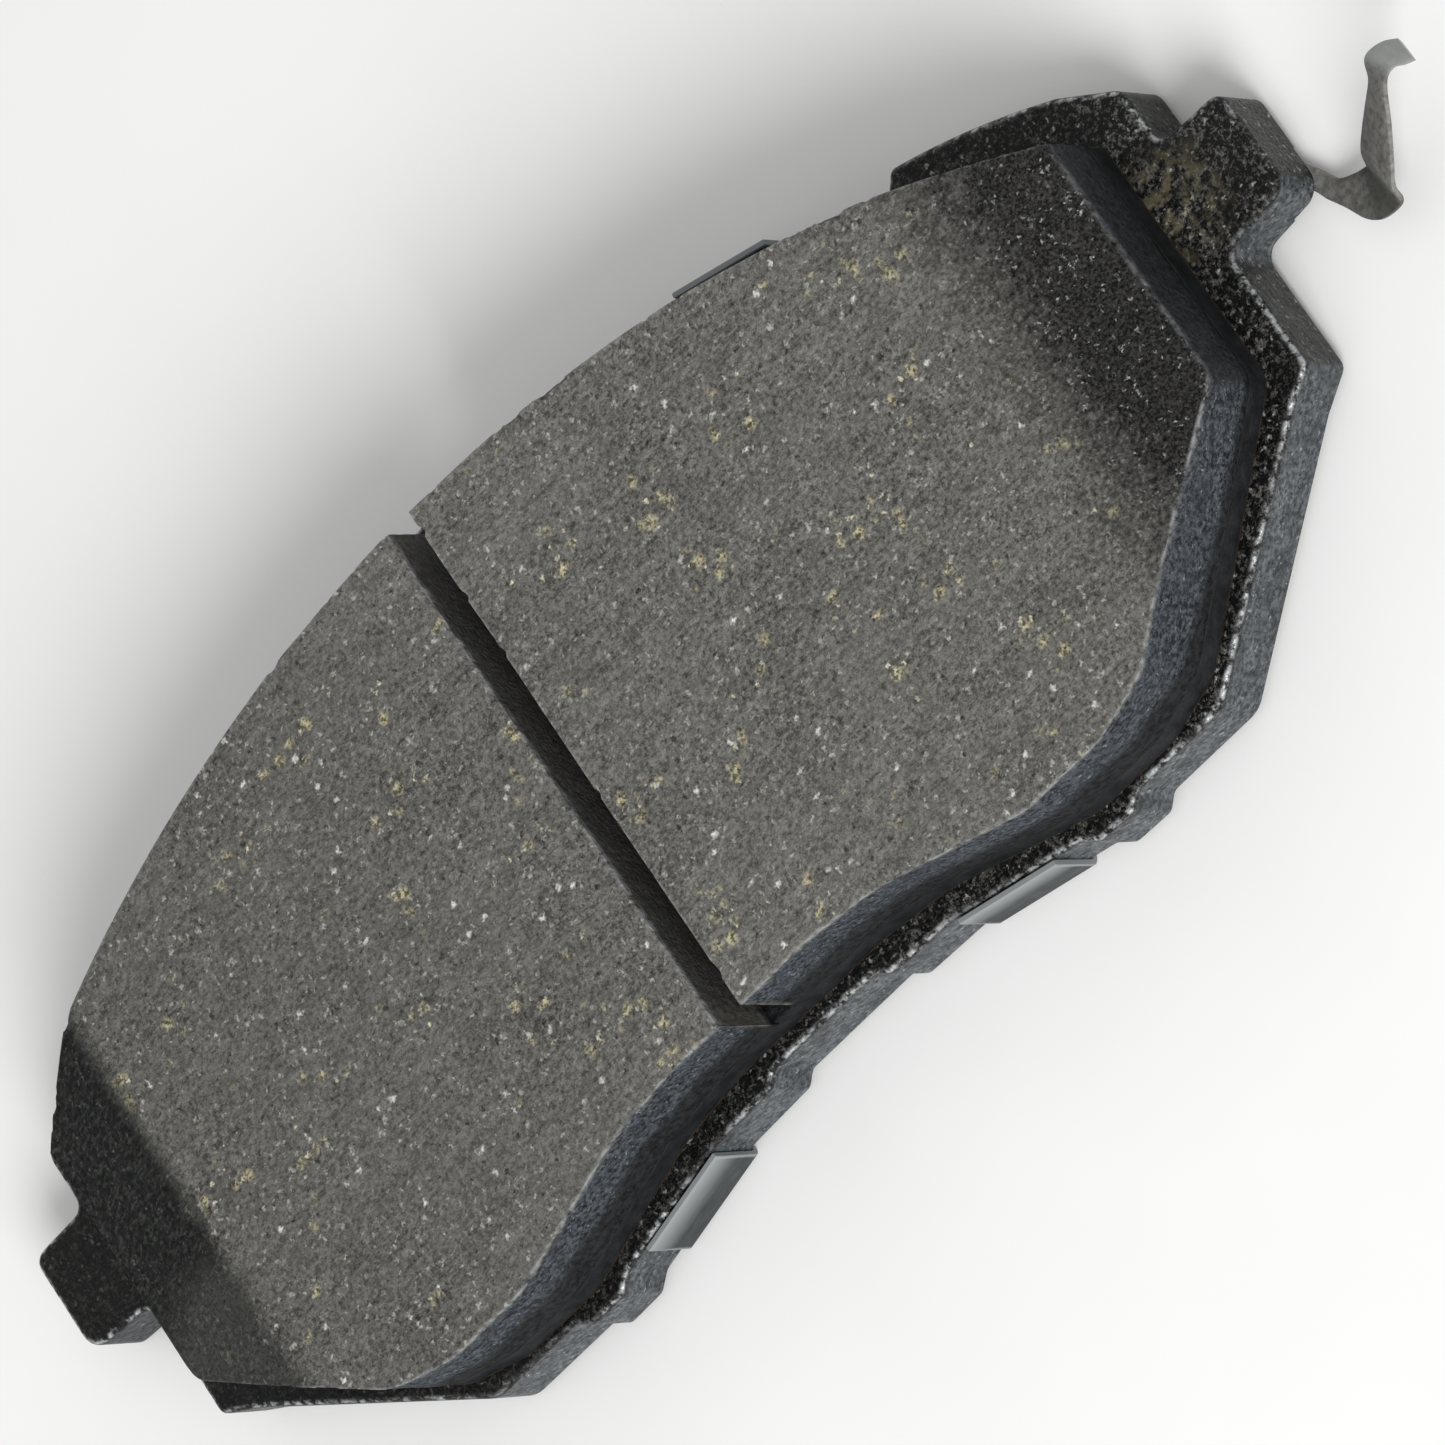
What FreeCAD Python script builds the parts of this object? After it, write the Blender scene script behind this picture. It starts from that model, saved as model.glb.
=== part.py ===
import FreeCAD, Part
import math
import os
import Sketcher

# Disc brake pad, one axle side.  X runs along the pad, Y points away from the
# wheel axis, Z points at the brake disc.  The rear face of the shim is Z = 0.

doc = FreeCAD.newDocument("brake_pad")
V = FreeCAD.Vector

# ---------------------------------------------------------------- sizes (mm)
SIZES = {
    "half_length": 62.0,        # slot side to end wall above the ear
    "half_length_low": 61.4,    # end wall below the ear
    "ear_reach": 68.1,          # tip of the guide ear
    "ear_top": 6.8,
    "ear_bottom": -2.5,
    "plate_top": 27.0,          # crown of the outer edge
    "crown_end_x": 42.4,        # where the crowned edge meets the shoulder notch
    "crown_end_y": 19.25,
    "plate_thick": 5.5,
    "edge_round": 0.5,          # rolled edge on the lining side
    "shim_steel": 0.5,
    "shim_rubber_thick": 0.2,
    "shim_glue": 0.1,
    "tab_front": 6.25,          # how high the shim tabs reach
    "shim_crown": 6.2,          # how far the shim's outer edge bows
    "film_thick": 0.1,
    "under_thick": 2.0,
    "lining_height": 10.2,      # lining face above the plate
    "lining_end": 58.4,
    "lining_top": 23.7,
    "lining_low": -22.8,        # middle of the inner edge
    "lining_radius": 127.5,
    "draft": 1.2,               # degrees, mould draft of the lining walls
    "slot_wide": 2.3,
    "slot_x": -0.8,
    "slot_deep": 7.5,
    "slot_bevel": 0.5,
    "slot_corner": 0.6,
    "lead_start": 48.0,         # steep chamfer at -X
    "lead_drop": 4.9,
    "trail_start": 46.0,        # shallow run-out at +X
    "trail_drop": 2.2,
    "anchor_x": 22.0,
    "anchor_hole": 11.0,
    "strip_thick": 0.5,
    "rivet_x": 64.4,
    "rivet_y": 2.3,
    "rivet_shank": 2.2,
    "rivet_head": 4.2,
    "rivet_head_thick": 0.7,
    "rivet_deep": 4.0,          # how far the shank reaches above Z = 0
}
STACK = {
    "z_rubber": "=shim_steel",
    "z_glue": "=shim_steel + shim_rubber_thick",
    "z_plate": "=shim_steel + shim_rubber_thick + shim_glue",
    "z_front": "=z_plate + plate_thick",
    "z_under": "=z_front + film_thick",
    "z_lining": "=z_under + under_thick",
    "z_face": "=z_front + lining_height",
    "z_strip": "=rivet_head_thick",
    "z_seat": "=rivet_head_thick + strip_thick",
}

sheet = doc.addObject("Spreadsheet::Sheet", "Sizes")
for row, (alias, value) in enumerate(list(SIZES.items()) + list(STACK.items()), 1):
    sheet.set("A%d" % row, alias)
    sheet.set("B%d" % row, str(value))
    sheet.setAlias("B%d" % row, alias)
doc.recompute()


def size(alias):
    return float(sheet.get(alias))


# ------------------------------------------------------------------- helpers
def rounded(corners):
    """Closed outline from (x, y, radius) corners; a 4th value bows the next side.

    A side with a bow is an arc whose middle stands that far off the chord."""
    n = len(corners)
    pts = [V(c[0], c[1], 0) for c in corners]
    starts, ends, arcs = [None] * n, [None] * n, []
    for i in range(n):
        p, q, r = pts[i - 1], pts[i], corners[i][2]
        s = pts[(i + 1) % n]
        if r == 0:
            ends[i - 1], starts[i] = q, q
            continue
        u = (p - q).normalize()
        w = (s - q).normalize()
        half = u.getAngle(w) / 2.0
        reach = r / math.tan(half)
        a, b = q + u * reach, q + w * reach
        centre = q + (u + w).normalize() * (r / math.sin(half))
        mid = centre + (q - centre).normalize() * r
        ends[i - 1], starts[i] = a, b
        arcs.append((i, Part.Arc(a, mid, b)))
    pieces = []
    arcs = dict(arcs)
    for i in range(n):
        if i in arcs:
            pieces.append(arcs[i])
        a, b = starts[i], ends[i]
        bow = corners[i][3] if len(corners[i]) > 3 else 0
        if bow:
            side = (b - a).normalize()
            mid = (a + b) * 0.5 + V(-side.y, side.x, 0) * bow
            pieces.append(Part.Arc(a, mid, b))
        elif (b - a).Length > 1e-6:
            pieces.append(Part.LineSegment(a, b))
    return pieces


def mirrored(half):
    """Right-hand corners (top to bottom) plus their mirror image, in one loop."""
    left = []
    for i, c in enumerate(half):
        bow = half[i - 1][3] if i and len(half[i - 1]) > 3 else 0
        left.append((-c[0], c[1], c[2], bow))
    return [c for c in half] + left[::-1]


def new_body(name):
    return doc.addObject("PartDesign::Body", name)


def plane_of(body, role):
    return next(f for f in body.Origin.OriginFeatures if f.Role == role)


def new_sketch(body, name, pieces, level=None, role="XY_Plane"):
    """Closed sketch on one of the body's own planes, lifted to a named level."""
    sk = body.newObject("Sketcher::SketchObject", name)
    sk.AttachmentSupport = [(plane_of(body, role), "")]
    sk.MapMode = "FlatFace"
    if level:
        sk.setExpression("AttachmentOffset.Base.z", "Sizes." + level)
    for piece in pieces:
        sk.addGeometry(piece, False)
    n = len(pieces)
    for i in range(n if n > 1 else 0):
        j = (i + 1) % n
        gaps = {(a, b): (sk.getPoint(i, a) - sk.getPoint(j, b)).Length for a in (1, 2) for b in (1, 2)}
        a, b = min(gaps, key=gaps.get)
        sk.addConstraint(Sketcher.Constraint("Coincident", i, a, j, b))
    return sk


def pad(body, sk, length, taper=None):
    feat = body.newObject("PartDesign::Pad", sk.Name + "_pad")
    feat.Profile = sk
    feat.setExpression("Length", length)
    if taper:
        feat.setExpression("TaperAngle", taper)
    sk.Visibility = False
    body.Tip = feat
    return feat


def pocket(body, sk, length, reverse=False, both=False):
    feat = body.newObject("PartDesign::Pocket", sk.Name + "_cut")
    feat.Profile = sk
    feat.setExpression("Length", length)
    feat.Reversed = reverse
    feat.Midplane = both
    body.Tip = feat
    return feat


def disc(x, y, diameter):
    return [Part.Circle(V(x, y, 0), V(0, 0, 1), diameter / 2.0)]


# ------------------------------------------------------------------ outlines
S = {alias: size(alias) for alias in list(SIZES) + list(STACK)}

PLATE = mirrored([
    (S["crown_end_x"], S["crown_end_y"], 0),
    (43.5, 20.4, 0.8, 0.35),
    (57.2, 15.2, 2.0),
    (S["half_length"], 11.9, 1.6),
    (S["half_length"], S["ear_top"], 1.0),
    (S["ear_reach"], S["ear_top"] - 0.2, 1.2),
    (S["ear_reach"], S["ear_bottom"], 1.8),
    (S["half_length_low"], S["ear_bottom"] - 0.4, 1.5),
    (S["half_length_low"], -13.4, 0.8),
    (58.2, -15.2, 1.5),
    (40.4, -27.9, 2.5),
    (31.3, -27.9, 0.9),
    (30.2, -28.9, 0.8),
    (26.6, -28.8, 0.8),
    (25.2, -27.75, 0.9),
    (13.0, -25.3, 1.0),
    (6.7, -25.1, 0.9),
    (5.7, -24.2, 0.9),
])
PLATE[-1] = PLATE[-1][:3] + (S["plate_top"] - S["crown_end_y"],)   # crowned outer edge

SHIM = mirrored([
    (40.5, 18.2, 1.5),
    (44.0, 15.5, 3.0),
    (56.5, 9.5, 3.0),
    (56.5, -10.5, 3.0),
    (39.0, -24.0, 4.0),
    (25.0, -25.2, 2.0),
    (22.2, -25.6, 0.5),
    (13.8, -23.9, 0.5),
    (8.0, -22.6, 1.5),
])
SHIM[-1] = SHIM[-1][:3] + (S["shim_crown"],)


def lining(grow):
    """Lining footprint at the plate, grown outwards by a distance."""
    end, low = S["lining_end"] + grow, S["lining_low"] - grow
    crown = S["lining_top"] + grow
    corner = math.sqrt(S["lining_radius"] ** 2 - end ** 2) - S["lining_radius"] + crown
    return mirrored([
        (end, corner, 0),
        (end, -12.2 - grow, 2.5),
        (41.6 + grow, -25.7 - grow, 6.0),
        (36.0, -27.2 - grow, 5.0),
        (28.0, -27.2 - grow, 9.0),
        (15.0, -23.6 - grow, 12.0),
        (8.0, low, 14.0),
    ]), crown - corner


def lining_pieces(grow):
    corners, crown = lining(grow)
    corners[-1] = corners[-1][:3] + (crown,)
    return rounded(corners)


# --------------------------------------------------------------- backing plate
plate = new_body("backing_plate")
blank = pad(plate, new_sketch(plate, "plate_blank", rounded(PLATE), "z_plate"), "Sizes.plate_thick")
doc.recompute()

front = [
    "Edge%d" % (i + 1)
    for i, edge in enumerate(blank.Shape.Edges)
    if abs(edge.BoundBox.ZMin - S["z_front"]) < 1e-4 and edge.BoundBox.ZLength < 1e-4
]
rolled = plate.newObject("PartDesign::Fillet", "rolled_edge")
rolled.Base = (blank, front)
rolled.setExpression("Radius", "Sizes.edge_round")
plate.Tip = rolled
doc.recompute()

for side in (-1, 1):
    hole = disc(side * S["anchor_x"], 0, S["anchor_hole"])
    tag = "anchor_hole_%s" % ("left" if side < 0 else "right")
    pocket(plate, new_sketch(plate, tag, hole, "z_plate"), "Sizes.plate_thick", reverse=True)

# seat pressed into the rear of the ear for the wear strip, and its rivet hole
SEAT = rounded([(62.2, 2.6, 0.6), (64.6, 4.6, 0.6), (69.6, 0.0, 0), (66.6, -4.4, 0), (62.6, -0.4, 0.6)])
pocket(plate, new_sketch(plate, "strip_seat", SEAT, "z_plate"), "Sizes.z_seat - Sizes.z_plate", True)
bore = disc(S["rivet_x"], S["rivet_y"], S["rivet_shank"])
pocket(plate, new_sketch(plate, "rivet_bore", bore, "z_plate"), "Sizes.rivet_deep - Sizes.z_plate", True)

# ------------------------------------------------------------ shim, three plies
core = new_body("shim_core")
pad(core, new_sketch(core, "core_blank", rounded(SHIM)), "Sizes.shim_steel")
TAB_INNER = [(13.6, -26.0), (22.7, -27.8), (22.6, -27.3), (13.5, -25.5)]
TAB_OUTER = [(23.4, 25.7), (32.0, 23.55), (31.85, 23.05), (23.25, 25.2)]
TONGUE_INNER = [(13.6, -26.0), (22.7, -27.8), (22.2, -24.0), (14.2, -22.4)]
TONGUE_OUTER = [(23.4, 25.7), (32.0, 23.55), (30.6, 18.0), (22.2, 20.0)]
for side, word in ((-1, "left"), (1, "right")):
    for wall, tongue, edge in ((TAB_INNER, TONGUE_INNER, "inner"), (TAB_OUTER, TONGUE_OUTER, "outer")):
        floor = rounded([(side * x, y, 0) for x, y in tongue])
        pad(core, new_sketch(core, "tongue_%s_%s" % (edge, word), floor), "Sizes.shim_steel")
        upright = rounded([(side * x, y, 0) for x, y in wall])
        pad(core, new_sketch(core, "tab_%s_%s" % (edge, word), upright), "Sizes.tab_front")

rubber = new_body("shim_rubber")
pad(rubber, new_sketch(rubber, "rubber_ply", rounded(SHIM), "z_rubber"), "Sizes.shim_rubber_thick")
glue = new_body("shim_adhesive")
pad(glue, new_sketch(glue, "glue_ply", rounded(SHIM), "z_glue"), "Sizes.shim_glue")

# --------------------------------------------------- lining and what bonds it
film = new_body("lining_adhesive")
pad(film, new_sketch(film, "film_sheet", lining_pieces(0.0), "z_front"), "Sizes.film_thick")
under = new_body("lining_underlayer")
pad(under, new_sketch(under, "under_sheet", lining_pieces(0.0), "z_under"), "Sizes.under_thick")
for side, word in ((-1, "left"), (1, "right")):
    hole = disc(side * S["anchor_x"], 0, S["anchor_hole"])
    through = new_sketch(film, "film_hole_" + word, hole, "z_front")
    pocket(film, through, "Sizes.film_thick", reverse=True)
    plug = new_sketch(under, "anchor_plug_" + word, hole, "z_plate")
    pad(under, plug, "Sizes.z_under - Sizes.z_plate")

block = new_body("friction_lining")
base = new_sketch(block, "lining_base", lining_pieces(0.0), "z_lining")
pad(block, base, "Sizes.z_face - Sizes.z_lining", "-Sizes.draft")
doc.recompute()

face = S["z_face"]
left, right = S["slot_x"] - S["slot_wide"] / 2, S["slot_x"] + S["slot_wide"] / 2
floor_z, bevel, corner = face - S["slot_deep"], S["slot_bevel"], S["slot_corner"]
CLEAR = 1.0                                 # cutters stand this far above the face
PAST = S["lining_end"] + 2.0                # and run this far, past the block's end
lead_slope = S["lead_drop"] / (S["lining_end"] - S["lead_start"])
lead_deep = lead_slope * (PAST - S["lead_start"])
trail_slope = S["trail_drop"] / (S["lining_end"] - S["trail_start"])
trail_deep = trail_slope * (PAST - S["trail_start"])
TRAIL_BOW = 0.3
SLOT = [
    (left, floor_z, corner), (right, floor_z, corner), (right, face + CLEAR, 0),
    (left - bevel - CLEAR, face + CLEAR, 0), (left, face - bevel, 0),
]
LEAD = [
    (-S["lead_start"], face, 0), (-S["lead_start"], face + CLEAR, 0),
    (-PAST, face + CLEAR, 0), (-PAST, face - lead_deep, 0),
]
TRAIL = [
    (S["trail_start"], face, 0), (S["trail_start"], face + CLEAR, 0),
    (PAST, face + CLEAR, 0), (PAST, face - trail_deep, 0, TRAIL_BOW),
]
for name, shape in (("centre_slot", SLOT), ("lead_chamfer", LEAD), ("trail_taper", TRAIL)):
    pocket(block, new_sketch(block, name, rounded(shape), role="XZ_Plane"), "80 mm", both=True)

# -------------------------------------------------------- wear strip and rivet
# (left edge, right edge) of the strip from the ear outwards, at its mid thickness
STRIP = [
    ((68.20, -0.30, 0.95), (67.10, -1.70, 0.95)),
    ((68.90, -1.50, 0.95), (67.90, -3.30, 0.95)),
    ((69.60, -2.80, 1.20), (68.90, -5.00, 1.40)),
    ((71.10, -3.70, 1.90), (70.00, -7.00, 2.20)),
    ((72.40, -4.20, 2.50), (71.30, -8.10, 2.80)),
    ((72.80, -4.30, 3.00), (73.40, -8.50, 3.60)),
    ((73.60, -3.70, 4.20), (74.10, -7.80, 4.90)),
    ((75.10, -3.10, 5.40), (75.70, -6.90, 6.30)),
    ((76.90, -2.50, 6.70), (77.90, -5.40, 8.00)),
    ((78.80, -1.90, 8.10), (80.10, -3.60, 9.60)),
    ((80.00, -1.00, 9.30), (81.60, -3.50, 10.40)),
    ((81.70, -1.20, 9.60), (82.70, -4.10, 10.90)),
    ((83.00, -2.00, 9.80), (83.60, -4.50, 11.20)),
]


def strip_wires(stations, thick):
    """Rectangular section at each station, square to the run of the strip."""
    a = [V(*s[0]) for s in stations]
    b = [V(*s[1]) for s in stations]
    mid = [(p + q) * 0.5 for p, q in zip(a, b)]
    wires = []
    for i, (p, q) in enumerate(zip(a, b)):
        along = mid[min(i + 1, len(mid) - 1)] - mid[max(i - 1, 0)]
        normal = V(0, 0, 1) if i < 2 else (q - p).cross(along).normalize()
        if normal.z < 0:
            normal = normal * -1
        off = normal * (thick / 2)
        wires.append(Part.makePolygon([p - off, q - off, q + off, p + off, p - off]))
    return wires


strip_root = new_body("strip_root")
EYE = [
    (63.0, 3.9, 1.4), (65.9, 4.2, 1.2), (68.20, -0.30, 0), (67.10, -1.70, 0), (62.7, 1.2, 1.4),
]
pad(strip_root, new_sketch(strip_root, "strip_eye", rounded(EYE), "z_strip"), "Sizes.strip_thick")
eye_hole = new_sketch(strip_root, "strip_hole", disc(S["rivet_x"], S["rivet_y"], S["rivet_shank"]), "z_strip")
pocket(strip_root, eye_hole, "Sizes.strip_thick", reverse=True)
doc.recompute()

strip_arm = doc.addObject("Part::Feature", "strip_arm")
strip_arm.Shape = Part.makeLoft(strip_wires(STRIP, S["strip_thick"]), True, True)
strip = doc.addObject("Part::Fuse", "wear_indicator")
strip.Base = strip_root
strip.Tool = strip_arm

rivet = new_body("wear_indicator_rivet")
head = disc(S["rivet_x"], S["rivet_y"], S["rivet_head"])
shank = disc(S["rivet_x"], S["rivet_y"], S["rivet_shank"])
pad(rivet, new_sketch(rivet, "rivet_head_disc", head), "Sizes.rivet_head_thick")
pad(rivet, new_sketch(rivet, "rivet_shank_disc", shank), "Sizes.rivet_deep")
doc.recompute()

# ---------------------------------------------------------------------- output
NODES = [
    "backing_plate", "shim_core", "shim_rubber", "shim_adhesive", "lining_adhesive",
    "lining_underlayer", "friction_lining", "wear_indicator", "wear_indicator_rivet",
]
for obj in doc.Objects:
    if "Invalid" in obj.State or "Error" in obj.State:
        raise RuntimeError("%s is not computed" % obj.Name)

os.makedirs("parts", exist_ok=True)
for node in NODES:
    shape = doc.getObject(node).Shape
    if shape.isNull() or not shape.isValid() or len(shape.Solids) != 1:
        raise RuntimeError("%s: %d solids, valid %s" % (node, len(shape.Solids), shape.isValid()))
    shape.exportStep("parts/%s.step" % node)
    box = shape.BoundBox
    print("%-22s volume %9.1f  X %.2f %.2f  Y %.2f %.2f  Z %.2f %.2f" % (
        node, shape.Volume, box.XMin, box.XMax, box.YMin, box.YMax, box.ZMin, box.ZMax))
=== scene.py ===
import math

import bpy
import numpy as np
from mathutils import Matrix, Vector


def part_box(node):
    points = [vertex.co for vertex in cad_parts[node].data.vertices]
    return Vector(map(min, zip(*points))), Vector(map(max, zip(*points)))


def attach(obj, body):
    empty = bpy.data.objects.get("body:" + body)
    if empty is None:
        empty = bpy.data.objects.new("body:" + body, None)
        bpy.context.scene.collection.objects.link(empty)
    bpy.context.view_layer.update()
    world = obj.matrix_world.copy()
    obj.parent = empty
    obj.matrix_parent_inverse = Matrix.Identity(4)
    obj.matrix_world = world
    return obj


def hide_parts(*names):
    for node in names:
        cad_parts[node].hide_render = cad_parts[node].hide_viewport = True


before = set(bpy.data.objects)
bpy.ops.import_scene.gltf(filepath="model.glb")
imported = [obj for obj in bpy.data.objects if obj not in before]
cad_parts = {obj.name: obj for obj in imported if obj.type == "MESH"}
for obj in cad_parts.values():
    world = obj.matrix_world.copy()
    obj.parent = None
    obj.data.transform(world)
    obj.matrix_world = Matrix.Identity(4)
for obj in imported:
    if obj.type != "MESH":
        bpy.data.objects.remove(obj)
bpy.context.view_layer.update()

MM = 0.001

# ------------------------------------------------------------ driving sizes (mm)
PLATE_BACK, PLATE_FRONT = (v.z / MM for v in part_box("backing_plate"))
FACE_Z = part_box("friction_lining")[1].z / MM
LINING_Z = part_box("friction_lining")[0].z / MM
UNDER_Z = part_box("lining_adhesive")[1].z / MM
LINING_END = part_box("lining_underlayer")[1].x / MM
CROWN_RADIUS = 127.5
CROWN = 23.7
SLOT_X, SLOT_WIDE, SLOT_DEEP = -0.8, 2.3, 7.5
LEAD_START, LEAD_DROP = 48.0, 4.9
TRAIL_START, TRAIL_DROP = 46.0, 2.2
SHIM_STEEL = 0.5
SHIM_SOFT = 0.08
STRIP_THICK = 0.5
RIVET = (64.4, 2.3)
RIVET_BORE = 1.1
ANCHOR_X, ANCHOR_RADIUS = 22.0, 5.5
DUST_AT = (60.2, 2.6)


# -------------------------------------------------------------- number helpers
LAYERS = 3   # noise sizes that make up one rough surface


def hashed(cells, seed):
    """Random number 0..1 for each integer lattice cell: the sine hash of its three indices."""
    dot = cells @ np.array([127.1, 311.7, 74.7]) + seed * 17.17
    return np.modf(np.abs(np.sin(dot) * 43758.5453))[0]


def noise(points, cell, seed):
    """Smooth noise -1..1: lattice values blended by the cubic 3t^2 - 2t^3 along each axis."""
    p = np.asarray(points, float) / cell
    base = np.floor(p)
    f = p - base
    f = f * f * (3 - 2 * f)
    total = 0.0
    for corner in np.ndindex(2, 2, 2):
        c = np.array(corner)
        weight = np.prod(np.where(c == 1, f, 1 - f), axis=-1)
        total = total + weight * hashed(base + c, seed)
    return total * 2 - 1


def layered(points, cell, seed):
    """Sum of three noise layers, each half the size and half the strength of the last."""
    total = sum(noise(points, cell / 2**k, seed + k) / 2**k for k in range(LAYERS))
    return total / (2 - 2 ** (1 - LAYERS))


def smooth(low, high, value):
    """Soft step from 0 at low to 1 at high."""
    t = np.clip((value - low) / (high - low), 0, 1)
    return t * t * (3 - 2 * t)


# -------------------------------------------------------------- outline helpers
def rounded_loop(corners, step):
    """Closed outline through (x, y, radius[, bow]) corners as evenly spaced points.

    Each corner is an arc tangent to its two sides; a bowed side is a circular arc
    whose middle stands that far outside the chord."""
    n = len(corners)
    pts = np.array([c[:2] for c in corners], float)
    rad = np.array([c[2] for c in corners], float)
    bow = np.array([c[3] if len(c) > 3 else 0 for c in corners], float)
    before, after = np.roll(pts, 1, 0) - pts, np.roll(pts, -1, 0) - pts
    u = before / np.linalg.norm(before, axis=1)[:, None]
    w = after / np.linalg.norm(after, axis=1)[:, None]
    half = np.arccos(np.clip((u * w).sum(1), -1, 1)) / 2
    reach = rad / np.tan(half)
    starts, ends = pts + w * reach[:, None], pts + u * reach[:, None]
    runs = []
    for i in range(n):
        if rad[i]:
            inward = (u[i] + w[i]) / np.linalg.norm(u[i] + w[i])
            centre = pts[i] + inward * rad[i] / math.sin(half[i])
            a0 = math.atan2(*(ends[i] - centre)[::-1])
            a1 = math.atan2(*(starts[i] - centre)[::-1])
            turn = (a1 - a0 + math.pi) % (2 * math.pi) - math.pi
            a = a0 + turn * np.linspace(0, 1, max(4, int(abs(turn) * rad[i] / step) + 2))
            runs.append(centre + rad[i] * np.stack([np.cos(a), np.sin(a)], 1))
        a, b = starts[i], ends[(i + 1) % n]
        chord = np.linalg.norm(b - a)
        t = np.linspace(0, 1, max(2, int(chord / step) + 1))[:, None]
        line = a + (b - a) * t
        if bow[i]:
            r = (chord**2 / 4 + bow[i] ** 2) / (2 * bow[i])
            along = (t - 0.5) * chord
            lift = np.sqrt(r * r - along**2) - (r - bow[i])
            out = np.array([-(b - a)[1], (b - a)[0]]) / chord
            line = line + out * lift
        runs.append(line)
    raw = np.concatenate(runs)
    keep = np.linalg.norm(raw - np.roll(raw, 1, 0), axis=1) > 1e-6
    return resample(raw[keep], step)


def resample(loop, step):
    """The same closed line with points about one step apart."""
    closed = np.concatenate([loop, loop[:1]])
    run = np.concatenate([[0], np.cumsum(np.linalg.norm(np.diff(closed, axis=0), axis=1))])
    s = np.linspace(0, run[-1], int(run[-1] / step) + 1)[:-1]
    return np.stack([np.interp(s, run, closed[:, k]) for k in (0, 1)], 1)


def outward(loop):
    """Unit normals pointing out of a clockwise loop, from its central differences."""
    t = np.roll(loop, -1, 0) - np.roll(loop, 1, 0)
    t /= np.linalg.norm(t, axis=1)[:, None]
    return np.stack([-t[:, 1], t[:, 0]], 1)


def mirrored(half):
    """Right-hand corners, top to bottom, plus their mirror image: one clockwise loop."""
    left = []
    for i, c in enumerate(half):
        bow = half[i - 1][3] if i and len(half[i - 1]) > 3 else 0
        left.append((-c[0], c[1], c[2], bow))
    return list(half) + left[::-1]


# ----------------------------------------------------------------- mesh helpers
def grid_faces(rows, cols, wrap=False, flip=False):
    """Quads of a rows x cols grid of vertices; wrap joins the last column to the first."""
    i = np.arange(rows - 1)[:, None]
    j = np.arange(cols if wrap else cols - 1)[None]
    k = (j + 1) % cols
    corners = (i * cols + j, i * cols + k, (i + 1) * cols + k, (i + 1) * cols + j)
    quads = np.stack(np.broadcast_arrays(*corners), -1).reshape(-1, 4)
    return quads[:, ::-1] if flip else quads


def tube_faces(rows, cols, flip=False):
    """Closed skin of a tube of rows rings: its quads, and one polygon over each end."""
    ring = np.arange(cols)[None]
    ends = [ring[:, ::-1], ring + (rows - 1) * cols]
    if flip:
        ends = [end[:, ::-1] for end in ends]
    return [grid_faces(rows, cols, wrap=True, flip=flip)] + ends


def mesh_of(name, vertices, faces):
    """A mesh in metres from vertices in mm and arrays of faces."""
    mesh = bpy.data.meshes.new(name)
    polygons = [polygon for block in faces for polygon in block.tolist()]
    mesh.from_pydata((vertices * MM).tolist(), [], polygons)
    return mesh


def placed(name, data):
    """A new object in the scene, standing at the origin."""
    thing = bpy.data.objects.new(name, data)
    bpy.context.scene.collection.objects.link(thing)
    return thing


def new_piece(name, vertices, faces, material, marks=None, sharp=30):
    """A piece riding on the pad; marks are named 0..1 values per vertex."""
    mesh = mesh_of(name, vertices, faces)
    for mark, values in (marks or {}).items():
        attribute = mesh.attributes.new(mark, "FLOAT", "POINT")
        attribute.data.foreach_set("value", values.astype(np.float32))
    mesh.materials.append(material)
    mesh.shade_smooth()
    mesh.set_sharp_from_angle(angle=math.radians(sharp))
    piece = placed(name, mesh)
    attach(piece, "root")
    return piece


def ring_shell(loop, rows):
    """Closed skin from a clockwise loop carried through rows of (offset outwards, height).

    Rows run from the bottom up; each offset or height is a number or one value per point."""
    normal = outward(loop)
    rings = []
    for offset, height in rows:
        off = np.broadcast_to(offset, len(loop))[:, None]
        z = np.broadcast_to(height, len(loop))[:, None]
        rings.append(np.concatenate([loop + normal * off, z], 1))
    return np.concatenate(rings), tube_faces(len(rings), len(loop), flip=True)


def disc_loop(x, y, radius):
    """Clockwise circle of 48 points."""
    turn = -np.linspace(0, 2 * math.pi, 49)[:-1]
    return np.stack([x + radius * np.cos(turn), y + radius * np.sin(turn)], 1)


def joined(parts):
    """Several (vertices, faces) pairs as one."""
    vertices, faces, start = [], [], 0
    for points, blocks in parts:
        vertices.append(points)
        faces += [block + start for block in blocks]
        start += len(points)
    return np.concatenate(vertices), faces


# ------------------------------------------------------------ material helpers
def linear(code):
    """sRGB hex code to a linear colour with alpha 1."""
    c = np.array([int(code[i:i + 2], 16) for i in (1, 3, 5)]) / 255
    lin = np.where(c <= 0.04045, c / 12.92, ((c + 0.055) / 1.055) ** 2.4)
    return (*lin.tolist(), 1.0)


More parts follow.
